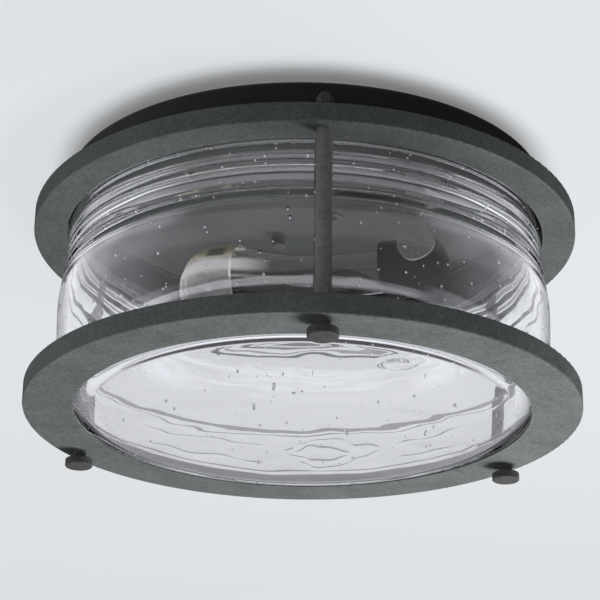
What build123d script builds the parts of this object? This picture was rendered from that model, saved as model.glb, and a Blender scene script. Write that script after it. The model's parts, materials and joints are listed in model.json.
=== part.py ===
from build123d import *
import math
import os

# Outdoor ceiling light: a clear glass jar held between two iron rings by three rods.
# Millimetres, +Z up. The ceiling plane is z = 0 and the light hangs below it.

# Glass jar
jar_neck_r = 142.4
jar_wall = 3.2
jar_base = 4.0
jar_rim_round = 1.2
neck_length = 52.0
shoulder_height = 26.0
shoulder_out = 5.5
heel_width = 21.9
heel_fullness = 2.4
heel_points = 16

# Rods, their studs and the three thumb nuts
rod_count = 3
rod_r = 4.5
rod_length = 99.4
rod_first_angle = -86.26
rod_glass_gap = 2.6
stud_r = 2.5
stud_hole_gap = 0.25
stud_grip = 6.9
washer_r = 4.2
washer_thickness = 0.8
washer_gap = 0.08
thumb_neck_r = 4.0
thumb_neck_height = 3.9
thumb_head_r = 8.5
thumb_head_height = 5.0
thumb_edge = 0.5
thumb_bore_gap = 0.06
stud_end_gap = 0.3

# Upper and lower rings
ring_height = 12.0
ring_margin = 10.0
ring_edge = 0.9
neck_gap = 3.1
channel_floor = 3.5
channel_inner_wall = 2.5
channel_outer_wall = 4.5
boss_r = 7.5
lip_thickness = 2.0
seat_overlap = 11.4
lip_reveal = 1.0
seat_gasket_width = 6.0
seat_gasket_thickness = 1.3
seat_gasket_gap = 0.4
rebate_gap = 1.4

# Canopy pan against the ceiling
canopy_depth = 22.0
sheet = 1.5
ceiling_gasket_thickness = 1.5
ceiling_gasket_inset = 0.8
pan_recess = 3.5
pan_glass_gap = 1.8
brim_landing = 1.0
top_gasket_thickness = 3.0
top_gasket_gap = 0.3

# Cap nuts on the rods' upper studs
cap_nut_flats = 8.0
cap_nut_height = 10.0
cap_nut_crown_r = 3.7
cap_nut_grip = 7.0
cap_nut_bore_gap = 0.5

# Ceiling strap, its two studs and the plain cap nuts under the pan
strap_angle = 112.5
strap_width = 20.0
strap_thickness = 2.0
strap_end_margin = 8.0
strap_centre_hole_r = 5.0
box_screw_circle = 69.85
box_screw_hole_r = 2.4
strap_stud_circle = 88.9
strap_stud_r = 2.1
pan_stud_gap = 0.6
pan_nut_r = 4.3
pan_nut_height = 9.0
pan_nut_grip = 7.0
pan_nut_edge = 0.7
ground_screw_offset = 18.0
ground_screw_r = 2.0
ground_head_r = 3.6
ground_head_height = 1.8
ground_grip = 1.6

# Wire entry in the pan
wire_entry_x = 16.0
wire_entry_y = 10.0
wire_bore_r = 4.0
bushing_groove_r = 6.0
bushing_flange_r = 7.6
bushing_flange = 2.0

# Lampholder: its mouth centre, the yaw of its axis, and how far it hangs below the pan
lamp_x = 49.0
lamp_y = -12.0
lamp_yaw = 17.5
lamp_drop = 48.5
holder_mouth_r = 18.0
holder_split_r = 17.4
holder_rear_r = 16.9
holder_front = 15.0
holder_core_r = 15.4
housing_length = 23.0
housing_dome = 10.5
housing_wall = 2.0
shell_r = 14.0
shell_thickness = 0.5
shell_length = 21.0
shell_inset = 1.0
socket_depth = 24.0
socket_floor = 3.0
lead_hole_r = 3.5
contact_disc_r = 5.0
contact_disc_thickness = 0.6
contact_dome_r = 2.6
contact_rivet_r = 1.5
terminal_offset = 8.0
terminal_screw_r = 1.5
terminal_head_r = 2.7
terminal_head_height = 1.8
terminal_depth = 2.0

# Strap bracket that carries the lampholder by a round eye
bracket_width = 12.0
bracket_eye_r = 10.8
bracket_thickness = 1.5
bracket_station = 24.0
bracket_eye_rise = 7.5
bracket_foot_length = 32.0
bracket_clearance = 0.5
lug_r = 8.0
lug_depth = 6.5
rivet_r = 1.9
rivet_head_r = 3.4
rivet_head_height = 0.9
foot_rivet_inset = 7.0
lug_rivet_depth = 2.6

# Screw-base bulb
bulb_r = 28.5
bulb_reach = 131.5
bulb_glass_wall = 0.8
bulb_neck_gap = 0.1
bulb_neck_tuck = 8.0
base_r = 13.15
base_wall = 0.5
base_proud = 0.4
base_length = 17.4
base_taper_height = 2.0
base_taper_r = 9.0
insulator_height = 2.2
insulator_tuck = 1.0
insulator_end_r = 5.0
tip_r = 3.4
tip_height = 1.6
tip_shank_r = 2.0
tip_shank_gap = 0.06
tip_contact_gap = 0.05
stem_r = 2.6
stem_flare = 6.0
stem_length = 60.0
stem_button_r = 2.4
filament_r = 0.35
filament_count = 6
filament_low_r = 6.0
filament_high_r = 10.0
filament_low = 64.0
filament_high = 106.0
lead_wire_r = 0.5

# Radii that follow from the jar
jar_bulge_r = jar_neck_r + shoulder_out
rod_circle_r = jar_bulge_r + rod_glass_gap + rod_r
ring_outer_r = rod_circle_r + ring_margin
ring_bore_r = jar_neck_r + neck_gap
canopy_r = ring_bore_r + sheet
pan_r = jar_neck_r - jar_wall - pan_glass_gap
brim_r = ring_outer_r - channel_outer_wall + brim_landing
seat_bore_r = jar_bulge_r - seat_overlap
lip_bore_r = seat_bore_r - lip_reveal
heel_centre_r = jar_bulge_r - heel_width

# Heights that follow from the stack under the ceiling
lip_top_z = -ceiling_gasket_thickness
pan_top_z = lip_top_z - pan_recess
pan_under_z = pan_top_z - sheet
jar_top_z = lip_top_z - sheet - top_gasket_thickness
upper_ring_top_z = -canopy_depth
upper_ring_under_z = upper_ring_top_z - ring_height
lower_ring_top_z = upper_ring_under_z - rod_length
lower_ring_under_z = lower_ring_top_z - ring_height
lip_top_of_ring_z = lower_ring_under_z + lip_thickness
seat_z = lip_top_of_ring_z + seat_gasket_thickness
neck_end_z = jar_top_z - neck_length
bulge_z = neck_end_z - shoulder_height
seat_share = (seat_bore_r - heel_centre_r) / heel_width
heel_height = (bulge_z - seat_z) / (1 - seat_share**heel_fullness) ** (1 / heel_fullness)
jar_base_z = bulge_z - heel_height
rebate_share = (bulge_z - lower_ring_top_z) / heel_height
heel_at_rebate = heel_width * (1 - rebate_share**heel_fullness) ** (1 / heel_fullness)
seat_gasket_r = seat_bore_r + seat_gasket_width
rebate_r = max(heel_centre_r + heel_at_rebate + rebate_gap, seat_gasket_r + seat_gasket_gap)
washer_under_z = lower_ring_under_z - washer_thickness
stud_end_z = washer_under_z - stud_grip
lamp_z = pan_under_z - lamp_drop

# The lamp's own frame: local +Z points out of the socket, local +X points up
lamp_axis = (-math.cos(math.radians(lamp_yaw)), math.sin(math.radians(lamp_yaw)), 0)
lamp_frame = Plane(origin=(lamp_x, lamp_y, lamp_z), x_dir=(0, 0, 1), z_dir=lamp_axis)
base_end = base_proud - base_length
insulator_end = base_end - insulator_height
tip_end = insulator_end - tip_height
bracket_face = -(holder_mouth_r + bracket_clearance)


def turned(points):
    """A solid of revolution about Z from the corners (r, z) of its half section."""
    return revolve(Plane.XZ * make_face(Polyline(*points, close=True)), Axis.Z)


def turned_outline(edges):
    """A solid of revolution about Z from the edges of its half section."""
    return revolve(Plane.XZ * make_face(edges), Axis.Z)


def tube(outer_r, inner_r, z_low, z_high):
    """A plain ring or washer between two heights."""
    return turned([(inner_r, z_low), (outer_r, z_low), (outer_r, z_high), (inner_r, z_high)])


def rod(r, z_low, z_high, at=(0, 0)):
    """A round bar or a drill between two heights."""
    low = (Align.CENTER, Align.CENTER, Align.MIN)
    return Pos(at[0], at[1], z_low) * Cylinder(r, z_high - z_low, align=low)


def on_circle(r, angle):
    """The point at this radius and angle about the light's axis."""
    return (r * math.cos(math.radians(angle)), r * math.sin(math.radians(angle)))


def rod_places():
    """The centres of the three rods."""
    step = 360 / rod_count
    return [on_circle(rod_circle_r, rod_first_angle + step * i) for i in range(rod_count)]


def strap_pair(circle):
    """The two places on the ceiling strap that lie on this circle."""
    return [on_circle(circle / 2, strap_angle + half) for half in (0, 180)]


def jar_body(inset, base_inset, top_z):
    """The jar as a filled form, drawn in from its outer face by the wall."""
    neck = jar_neck_r - inset
    bulge = jar_bulge_r - inset
    base_z = jar_base_z + base_inset
    shoulder = Bezier(
        (neck, neck_end_z),
        (neck, neck_end_z - shoulder_height * 0.19),
        (bulge, bulge_z + shoulder_height * 0.56),
        (bulge, bulge_z),
    )
    reach = bulge - heel_centre_r
    drop = bulge_z - base_z
    heel_curve = []
    for i in range(heel_points + 1):
        turn = math.pi / 2 * i / heel_points
        out = math.cos(turn) ** (2 / heel_fullness)
        down = math.sin(turn) ** (2 / heel_fullness)
        heel_curve.append((heel_centre_r + reach * out, bulge_z - drop * down))
    heel_curve[0] = (bulge, bulge_z)
    heel_curve[-1] = (heel_centre_r, base_z)
    heel = Spline(*heel_curve, tangents=[(0, -1), (-1, 0)])
    return turned_outline(
        [
            Line((0, top_z), (neck, top_z)),
            Line((neck, top_z), (neck, neck_end_z)),
            shoulder,
            heel,
            Line((heel_centre_r, base_z), (0, base_z)),
            Line((0, base_z), (0, top_z)),
        ]
    )


def glass_jar():
    jar = jar_body(0, 0, jar_top_z) - jar_body(jar_wall, jar_base, jar_top_z + jar_wall)
    rim = jar.faces().sort_by(Axis.Z)[-1].edges()
    return fillet(rim, min(jar_rim_round, jar_wall * 0.45))


def rounded_outer(points, radius):
    """A turned ring whose two outermost corners are rounded."""
    face = make_face(Polyline(*points, close=True))
    corners = face.vertices().sort_by(Axis.X)[-2:]
    return revolve(Plane.XZ * fillet(corners, radius), Axis.Z)


def upper_ring():
    top, under = upper_ring_top_z, upper_ring_under_z
    block = [(ring_bore_r, under), (ring_outer_r, under), (ring_outer_r, top), (ring_bore_r, top)]
    ring = rounded_outer(block, ring_edge)
    ring -= tube(
        ring_outer_r - channel_outer_wall,
        ring_bore_r + channel_inner_wall,
        under + channel_floor,
        top + ring_height,
    )
    bosses = [rod(boss_r, under + channel_floor / 2, top, at) for at in rod_places()]
    stud_holes = [rod(stud_r, under - ring_height, top + ring_height, at) for at in rod_places()]
    return ring + bosses - stud_holes


def lower_ring():
    top, under = lower_ring_top_z, lower_ring_under_z
    ring = rounded_outer(
        [
            (lip_bore_r, under),
            (ring_outer_r, under),
            (ring_outer_r, top),
            (rebate_r, top),
            (rebate_r, lip_top_of_ring_z),
            (lip_bore_r, lip_top_of_ring_z),
        ],
        ring_edge,
    )
    hole_r = stud_r + stud_hole_gap
    return ring - [rod(hole_r, under - ring_height, top + ring_height, at) for at in rod_places()]


def seat_gasket():
    return tube(seat_gasket_r, seat_bore_r, lip_top_of_ring_z, seat_z)


def canopy_pan():
    wall_r = canopy_r - sheet
    brim_top = upper_ring_top_z + sheet
    lip_under = lip_top_z - sheet
    pan = turned(
        [
            (0, pan_under_z),
            (pan_r, pan_under_z),
            (pan_r, lip_under),
            (wall_r, lip_under),
            (wall_r, upper_ring_top_z),
            (brim_r, upper_ring_top_z),
            (brim_r, brim_top),
            (canopy_r, brim_top),
            (canopy_r, lip_top_z),
            (pan_r - sheet, lip_top_z),
            (pan_r - sheet, pan_top_z),
            (0, pan_top_z),
        ]
    )
    cuts = [rod(stud_r, -canopy_depth * 2, 0, at) for at in rod_places()]
    for at in strap_pair(strap_stud_circle):
        cuts.append(rod(strap_stud_r + pan_stud_gap, pan_under_z - sheet, 0, at))
    cuts.append(rod(bushing_groove_r, pan_under_z - sheet, 0, (wire_entry_x, wire_entry_y)))
    cuts += [lamp_frame.location * drill for drill in foot_rivet_shanks()]
    return pan - cuts


def ceiling_gasket():
    outer = canopy_r - ceiling_gasket_inset
    inner = pan_r - sheet + ceiling_gasket_inset
    return tube(outer, inner, lip_top_z, 0)


def top_gasket():
    outer = canopy_r - sheet - top_gasket_gap
    return tube(outer, pan_r + top_gasket_gap, jar_top_z, lip_top_z - sheet)


def rods():
    """The rods, each a bar with a reduced stud at both ends."""
    stud_top = upper_ring_top_z + sheet + cap_nut_grip
    bars = []
    for at in rod_places():
        bar = rod(rod_r, lower_ring_top_z, upper_ring_under_z, at)
        bar += rod(stud_r, upper_ring_under_z, stud_top, at)
        bar += rod(stud_r, stud_end_z, lower_ring_top_z, at)
        bars.append(bar)
    return bars


def rod_cap_nuts():
    """Domed nuts that clamp the canopy's brim to the upper ring."""
    seat = upper_ring_top_z + sheet
    hex_height = cap_nut_height - cap_nut_crown_r
    hexagon = extrude(RegularPolygon(cap_nut_flats / 2, 6, major_radius=False), hex_height)
    crown = Pos(0, 0, hex_height) * Sphere(cap_nut_crown_r)
    nut = hexagon + crown - rod(stud_r, 0, cap_nut_grip + cap_nut_bore_gap)
    return [Pos(x, y, seat) * nut for x, y in rod_places()]


def thumb_washers():
    bore = stud_r + washer_gap
    ring = tube(washer_r, bore, washer_under_z, lower_ring_under_z)
    return [Pos(x, y, 0) * ring for x, y in rod_places()]


def thumb_nuts():
    """Plain turned nuts with a neck and a broad head, drilled blind for the stud."""
    head_top = washer_under_z - thumb_neck_height
    head_under = head_top - thumb_head_height
    edge = thumb_edge
    nut = turned(
        [
            (0, head_under),
            (thumb_head_r - edge, head_under),
            (thumb_head_r, head_under + edge),
            (thumb_head_r, head_top - edge),
            (thumb_head_r - edge, head_top),
            (thumb_neck_r, head_top),
            (thumb_neck_r, washer_under_z),
            (0, washer_under_z),
        ]
    )
    nut -= rod(stud_r + thumb_bore_gap, stud_end_z - stud_end_gap, washer_under_z)
    return [Pos(x, y, 0) * nut for x, y in rod_places()]


def mounting_strap():
    length = strap_stud_circle + 2 * strap_end_margin
    plate = extrude(SlotOverall(length, strap_width, rotation=strap_angle), -strap_thickness)
    cuts = [rod(strap_stud_r, -canopy_depth, 1, at) for at in strap_pair(strap_stud_circle)]
    cuts += [rod(box_screw_hole_r, -canopy_depth, 1, at) for at in strap_pair(box_screw_circle)]
    cuts.append(rod(strap_centre_hole_r, -canopy_depth, 1))
    cuts.append(rod(ground_screw_r, -canopy_depth, 1, on_circle(ground_screw_offset, strap_angle)))
    return plate - cuts


def strap_studs():
    end = pan_under_z - pan_nut_grip
    return [rod(strap_stud_r, end, 0, at) for at in strap_pair(strap_stud_circle)]


def pan_cap_nuts():
    """Plain round cap nuts that hold the pan up against the ceiling strap's studs."""
    under = pan_under_z - pan_nut_height
    nut = turned(
        [
            (0, under),
            (pan_nut_r - pan_nut_edge, under),
            (pan_nut_r, under + pan_nut_edge),
            (pan_nut_r, pan_under_z),
            (0, pan_under_z),
        ]
    )
    nut -= rod(strap_stud_r, pan_under_z - pan_nut_grip, pan_under_z)
    return [Pos(x, y, 0) * nut for x, y in strap_pair(strap_stud_circle)]


def ground_screw():
    at = on_circle(ground_screw_offset, strap_angle)
    head_top = -strap_thickness
    screw = rod(ground_head_r, head_top - ground_head_height, head_top, at)
    return screw + rod(ground_screw_r, head_top, head_top + ground_grip, at)


def wire_bushing():
    """A grooved bushing snapped into the pan, open for the supply leads."""
    top = pan_top_z + bushing_flange
    under = pan_under_z - bushing_flange
    bush = turned(
        [
            (wire_bore_r, under),
            (bushing_flange_r, under),
            (bushing_flange_r, pan_under_z),
            (bushing_groove_r, pan_under_z),
            (bushing_groove_r, pan_top_z),
            (bushing_flange_r, pan_top_z),
            (bushing_flange_r, top),
            (wire_bore_r, top),
        ]
    )
    return Pos(wire_entry_x, wire_entry_y, 0) * bush


# Lamp pieces, each drawn in the lamp's own frame


def bracket_outline(r, width, rise, top):
    """A tongue in the local XZ plane: a round eye of radius r on a strap that runs up to a square top."""
    eye = Pos(rise, 0) * Circle(r)
    return eye + Pos((rise + top) / 2, 0) * Rectangle(top - rise, width)


def tongue(outline, y_low, y_high):
    """A plate across local Y, cut to a tongue's outline at the bracket's station."""
    plane = Plane(origin=(0, y_low, -bracket_station), x_dir=(1, 0, 0), z_dir=(0, 1, 0))
    return extrude(plane * outline, y_high - y_low)


def cross_drill(r, rise, y_low, y_high):
    """A round bar along local Y at the bracket's eye."""
    plane = Plane(origin=(rise, y_low, -bracket_station), x_dir=(1, 0, 0), z_dir=(0, 1, 0))
    return extrude(plane * Circle(r), y_high - y_low)


def foot_rivet_places():
    """Where the two foot rivets stand, as local Y."""
    far = bracket_face + bracket_foot_length - foot_rivet_inset
    return (bracket_face + foot_rivet_inset, far)


def up_bar(r, x_low, x_high, y):
    """A round bar along local X, which points up at the pan."""
    plane = Plane(origin=(x_low, y, -bracket_station), x_dir=(0, 1, 0), z_dir=(1, 0, 0))
    return extrude(plane * Circle(r), x_high - x_low)


def foot_rivet_shanks():
    foot_under = lamp_drop - bracket_thickness
    return [up_bar(rivet_r, foot_under, lamp_drop + sheet, y) for y in foot_rivet_places()]


def lampholder_bracket():
    """A bent strap: a foot riveted under the pan and a leg with a round eye."""
    leg_outline = bracket_outline(bracket_eye_r, bracket_width, bracket_eye_rise, lamp_drop)
    leg = tongue(leg_outline, bracket_face - bracket_thickness, bracket_face)
    foot = Pos(
        lamp_drop - bracket_thickness / 2,
        bracket_face + bracket_foot_length / 2,
        -bracket_station,
    ) * Box(bracket_thickness, bracket_foot_length, bracket_width)
    eye = cross_drill(
        rivet_r, bracket_eye_rise, bracket_face - 2 * bracket_thickness, bracket_face
    )
    return leg + foot - eye - foot_rivet_shanks()


def foot_rivets():
    foot_under = lamp_drop - bracket_thickness
    pan_top = lamp_drop + sheet
    rivets = []
    for shank, y in zip(foot_rivet_shanks(), foot_rivet_places()):
        lower = up_bar(rivet_head_r, foot_under - rivet_head_height, foot_under, y)
        upper = up_bar(rivet_head_r, pan_top, pan_top + rivet_head_height, y)
        rivets.append(shank + lower + upper)
    return rivets


def lampholder_rivet():
    front = bracket_face - bracket_thickness
    head = cross_drill(rivet_head_r, bracket_eye_rise, front - rivet_head_height, front)
    shank_end = bracket_face + lug_rivet_depth
    return head + cross_drill(rivet_r, bracket_eye_rise, front, shank_end)


def lampholder_body():
    """The front of the socket: a tapered barrel with a core that goes into the rear housing."""
    rear = -socket_depth - socket_floor
    barrel = turned(
        [
            (0, rear),
            (holder_core_r, rear),
            (holder_core_r, -holder_front),
            (holder_split_r, -holder_front),
            (holder_mouth_r, 0),
            (0, 0),
        ]
    )
    cuts = [rod(shell_r, -socket_depth, holder_front)]
    cuts.append(rod(contact_rivet_r, rear, 0))
    return barrel - cuts - terminal_shanks()


def terminal_shanks():
    rear = -socket_depth - socket_floor
    places = ((terminal_offset, 0), (-terminal_offset, 0))
    return [rod(terminal_screw_r, rear, rear + terminal_depth, at) for at in places]


def terminal_screws():
    rear = -socket_depth - socket_floor
    places = ((terminal_offset, 0), (-terminal_offset, 0))
    heads = [rod(terminal_head_r, rear - terminal_head_height, rear, at) for at in places]
    return [head + shank for head, shank in zip(heads, terminal_shanks())]


def lampholder_cap():
    """The rear housing: a domed cover with a lug for the bracket and a hole for the leads."""
    end = -holder_front - housing_length
    spring = end + housing_dome
    cavity_end = end + housing_wall
    cover = turned_outline(
        [
            Line((0, -holder_front), (holder_split_r, -holder_front)),
            Line((holder_split_r, -holder_front), (holder_rear_r, spring)),
            EllipticalCenterArc((0, spring), holder_rear_r, housing_dome, 270, arc_size=90),
            Line((0, end), (0, -holder_front)),
        ]
    )
    cavity = turned_outline(
        [
            Line((0, -holder_front), (holder_core_r, -holder_front)),
            Line((holder_core_r, -holder_front), (holder_core_r, spring)),
            EllipticalCenterArc((0, spring), holder_core_r, spring - cavity_end, 270, arc_size=90),
            Line((0, cavity_end), (0, -holder_front)),
        ]
    )
    lug_outline = bracket_outline(lug_r, 2 * lug_r, bracket_eye_rise, bracket_eye_rise + lug_r / 2)
    cover += tongue(lug_outline, bracket_face, bracket_face + lug_depth)
    rivet_end = bracket_face + lug_rivet_depth
    cuts = [cavity, rod(lead_hole_r, end - housing_length, cavity_end + housing_wall)]
    cuts.append(cross_drill(rivet_r, bracket_eye_rise, bracket_face - lug_depth, rivet_end))
    return cover - cuts


def screw_shell():
    return tube(shell_r, shell_r - shell_thickness, -shell_inset - shell_length, -shell_inset)


def centre_contact():
    """A riveted disc with a sprung dome that meets the bulb's tip."""
    floor = -socket_depth
    disc_top = floor + contact_disc_thickness
    contact = rod(contact_disc_r, floor, disc_top)
    contact += rod(contact_dome_r, disc_top, tip_end - tip_contact_gap)
    return contact + rod(contact_rivet_r, floor - socket_floor, floor)


def bulb_form(inset):
    """The pear-shaped bulb, drawn in from its outer face by the glass."""
    neck = base_r - base_wall - bulb_neck_gap - inset
    belly = bulb_r - inset
    centre = bulb_reach - bulb_r
    sweep = centre - base_proud
    low = base_proud - bulb_neck_tuck
    flank = Bezier(
        (neck, base_proud),
        (neck, base_proud + sweep * 0.8),
        (belly, base_proud + sweep * 0.72),
        (belly, centre),
    )
    return turned_outline(
        [
            Line((0, low), (neck, low)),
            Line((neck, low), (neck, base_proud)),
            flank,
            CenterArc((0, centre), belly, 0, 90),
            Line((0, centre + belly), (0, low)),
        ]
    )


def bulb_glass():
    neck_bore_r = base_r - base_wall - bulb_neck_gap - bulb_glass_wall
    mouth = rod(neck_bore_r, -bulb_reach, base_proud)
    return bulb_form(0) - bulb_form(bulb_glass_wall) - mouth


def bulb_base():
    """The thin brass cap that screws into the shell."""
    shoulder = base_end + base_taper_height
    inner = base_r - base_wall
    return turned(
        [
            (inner, base_proud),
            (base_r, base_proud),
            (base_r, shoulder),
            (base_taper_r, base_end),
            (base_taper_r - base_wall, base_end),
            (inner, shoulder + base_wall),
        ]
    )


def bulb_insulator():
    """The glass button that keeps the tip apart from the brass."""
    bore = tip_shank_r + tip_shank_gap
    rim = base_taper_r - base_wall
    cone = (base_r - base_taper_r) / (base_taper_height + base_wall)
    return turned(
        [
            (bore, insulator_end),
            (insulator_end_r, insulator_end),
            (rim, base_end),
            (rim + cone * insulator_tuck, base_end + insulator_tuck),
            (bore, base_end + insulator_tuck),
        ]
    )


def bulb_tip():
    return rod(tip_r, tip_end, insulator_end) + rod(tip_shank_r, insulator_end, base_end)


def bulb_stem():
    """The glass mount that stands in the neck and carries the filament."""
    low = base_proud - bulb_neck_tuck
    neck_bore_r = base_r - base_wall - bulb_neck_gap - bulb_glass_wall
    flare_top = low + stem_flare
    stem = turned(
        [
            (0, low),
            (neck_bore_r, low),
            (neck_bore_r, low + bulb_glass_wall),
            (stem_r, flare_top),
            (stem_r, stem_length),
            (0, stem_length),
        ]
    )
    mast = rod(stem_button_r / 2, stem_length, filament_high)
    return stem + mast + Pos(0, 0, filament_high) * Sphere(stem_button_r)


def between(a, b, r):
    """A round bar from one point to another."""
    path = Line(a, b)
    return sweep_bar(path, r)


def sweep_bar(path, r):
    start = Plane(origin=path @ 0, z_dir=path % 0)
    return extrude(start * Circle(r), path.length)


def bulb_filament():
    """A cage of straight filament runs between a low and a high ring of hooks."""
    angles = [360 / filament_count * i for i in range(filament_count)]
    low = [(*on_circle(filament_low_r, a), filament_low) for a in angles]
    high = [(*on_circle(filament_high_r, a + 180 / filament_count), filament_high) for a in angles]
    wires = []
    for i in range(filament_count):
        wires.append(between(low[i], high[i], filament_r))
        if i + 1 < filament_count:
            wires.append(between(high[i], low[i + 1], filament_r))
    for point in low:
        root = (0, 0, filament_low)
        wires.append(between(root, point, lead_wire_r))
    for point in high:
        wires.append(between((0, 0, filament_high), point, lead_wire_r))
    joints = [Pos(*p) * Sphere(lead_wire_r) for p in low + high]
    cage = wires[0].fuse(*wires[1:], *joints)
    return cage - bulb_stem()


def in_lamp_frame(shape):
    """Moves a lamp piece, or a list of them, from the lamp's frame to its place."""
    if isinstance(shape, list):
        return [lamp_frame.location * s for s in shape]
    return lamp_frame.location * shape


def collect():
    """Every node of the light by name."""
    nodes = {
        "ceiling_gasket": ceiling_gasket(),
        "mounting_strap": mounting_strap(),
        "strap_studs": strap_studs(),
        "pan_cap_nuts": pan_cap_nuts(),
        "ground_screw": ground_screw(),
        "canopy_pan": canopy_pan(),
        "wire_bushing": wire_bushing(),
        "upper_ring": upper_ring(),
        "rod_cap_nuts": rod_cap_nuts(),
        "top_gasket": top_gasket(),
        "glass_jar": glass_jar(),
        "seat_gasket": seat_gasket(),
        "lower_ring": lower_ring(),
    }
    for name, made in (
        ("rod", rods()),
        ("thumb_washer", thumb_washers()),
        ("thumb_nut", thumb_nuts()),
    ):
        for i, shape in enumerate(made, start=1):
            nodes[f"{name}_{i}"] = shape
    for make in (
        lampholder_bracket,
        foot_rivets,
        lampholder_rivet,
        lampholder_body,
        lampholder_cap,
        terminal_screws,
        screw_shell,
        centre_contact,
        bulb_glass,
        bulb_base,
        bulb_insulator,
        bulb_tip,
        bulb_stem,
        bulb_filament,
    ):
        nodes[make.__name__] = in_lamp_frame(make())
    return nodes


os.makedirs("parts", exist_ok=True)
for node, shape in collect().items():
    solid = Compound(children=shape) if isinstance(shape, list) else shape
    export_step(solid, f"parts/{node}.step")
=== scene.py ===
import json
import math
import random

import bpy
from mathutils import Matrix, Vector, noise


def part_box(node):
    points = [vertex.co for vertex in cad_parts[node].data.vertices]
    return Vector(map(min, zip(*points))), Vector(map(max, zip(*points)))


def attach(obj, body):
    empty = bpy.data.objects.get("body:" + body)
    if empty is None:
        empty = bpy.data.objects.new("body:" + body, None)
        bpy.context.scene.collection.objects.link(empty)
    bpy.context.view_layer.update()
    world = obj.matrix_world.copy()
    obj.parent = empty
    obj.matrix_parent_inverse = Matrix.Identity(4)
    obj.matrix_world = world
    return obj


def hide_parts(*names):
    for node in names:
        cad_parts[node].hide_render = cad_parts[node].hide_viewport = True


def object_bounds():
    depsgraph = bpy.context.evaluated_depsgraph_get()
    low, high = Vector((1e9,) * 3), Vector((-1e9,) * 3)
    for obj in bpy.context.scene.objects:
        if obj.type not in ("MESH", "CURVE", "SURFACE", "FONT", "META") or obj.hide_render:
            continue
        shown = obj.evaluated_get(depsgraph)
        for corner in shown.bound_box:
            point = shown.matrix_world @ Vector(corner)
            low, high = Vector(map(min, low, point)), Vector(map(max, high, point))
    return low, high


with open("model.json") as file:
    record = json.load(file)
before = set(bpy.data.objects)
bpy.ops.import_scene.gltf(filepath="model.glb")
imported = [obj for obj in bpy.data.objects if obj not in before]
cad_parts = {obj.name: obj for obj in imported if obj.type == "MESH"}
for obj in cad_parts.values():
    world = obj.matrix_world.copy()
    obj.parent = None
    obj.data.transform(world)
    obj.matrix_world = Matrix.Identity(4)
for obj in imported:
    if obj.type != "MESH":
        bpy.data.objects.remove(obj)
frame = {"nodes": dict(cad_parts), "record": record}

cad_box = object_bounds()
nodes = frame["nodes"]
MM = 0.001
UP = Vector((0.0, 0.0, 1.0))

# Jar sizes in millimetres, as in the solid model
NECK_R = 142.4
BULGE_R = 147.9
HEEL_CENTRE_R = 126.0
HEEL_FULLNESS = 2.4
SHOULDER_LOW_PULL = 14.56
SHOULDER_HIGH_PULL = 4.94
JAR_TOP = -6.0
NECK_MIDDLE = -32.0
NECK_END = -58.0
BULGE_Z = -84.0
JAR_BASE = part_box("glass_jar")[0][2] / MM
WALL = 3.2
FLOOR = 4.0
RIM_HEIGHT = 1.2

# Lamp axis: the mouth of the lampholder, the direction out of it and the level direction to the near side
LAMP_MOUTH = Vector((49.0, -12.0, -55.0))
LAMP_YAW = math.radians(17.5)
LAMP_OUT = Vector((-math.cos(LAMP_YAW), math.sin(LAMP_YAW), 0.0))
LAMP_NEAR = Vector((-math.sin(LAMP_YAW), -math.cos(LAMP_YAW), 0.0))

# Tones of the bulb's painted reflection from low to high: dark low down, pale in the middle, then brassy and
# dark on top, as painted light and shade
PAINTED_REFLECTION_TONES = (
    (0.0, (0.18, 0.18, 0.19)),
    (0.25, (0.25, 0.245, 0.25)),
    (0.375, (0.38, 0.37, 0.37)),
    (0.5, (0.48, 0.465, 0.45)),
    (0.66, (0.46, 0.44, 0.40)),
    (0.72, (0.34, 0.31, 0.24)),
    (0.80, (0.20, 0.185, 0.125)),
    (0.90, (0.16, 0.155, 0.11)),
    (1.0, (0.10, 0.105, 0.10)),
)

# Dark, light and edge tones of the painted iron; the paler edge tone is partly wear and partly painted
# highlight
RING_PAINT = ((0.108, 0.118, 0.117), (0.140, 0.151, 0.149), (0.26, 0.265, 0.26))
# Darker than the ring paint: painted shade on the upper ring, under the lower ring and jar
SHADED_UPPER_RING_TONES = ((0.086, 0.094, 0.093), (0.112, 0.121, 0.119), (0.22, 0.225, 0.22))
# Warmer than the ring paint, and lighter as painted light on the rods
WARM_LIT_ROD_TONES = ((0.168, 0.166, 0.158), (0.216, 0.212, 0.201), (0.31, 0.30, 0.29))
# Darker than the ring paint: painted shade on the pan, inside the jar and under the ceiling
SHADED_PAN_TONES = ((0.046, 0.049, 0.049), (0.062, 0.066, 0.066), (0.12, 0.12, 0.115))
# Darker than the ring paint: painted shade on the nuts' sides
SHADED_NUT_TONES = ((0.058, 0.058, 0.059), (0.080, 0.080, 0.081), (0.17, 0.17, 0.17))
# Lighter than the ring paint: painted light on the strap, which stands in shade
LIT_STRAP_TONES = ((0.225, 0.232, 0.229), (0.258, 0.266, 0.262), (0.28, 0.285, 0.28))
# Painted shade on the pan's outside, in the gap under the ceiling
PAINTED_SHADE_TONE = (0.006, 0.006, 0.006, 1.0)
PALE_LINING = (0.62, 0.61, 0.66, 1.0)

# In metres: where the pan's outside is darkened by painted shade, and a radius just outside the lower ring's
# rebate with its floor
CANOPY_PAINTED_SHADE_BEYOND = 0.1395
REBATE = (0.1432, -0.1434)


# Materials


def new_material(name):
    """A node material with one Principled shader, its node tree and its shader."""
    mat = bpy.data.materials.new(name)
    mat.use_nodes = True
    tree = mat.node_tree
    return mat, tree, tree.nodes["Principled BSDF"]


def tune(mat, socket, value):
    """Sets one value of a material's shader."""
    mat.node_tree.nodes["Principled BSDF"].inputs[socket].default_value = value


def add(tree, kind, **values):
    """A node of this kind with its properties set."""
    node = tree.nodes.new(kind)
    for key, value in values.items():
        setattr(node, key, value)
    return node


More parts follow.
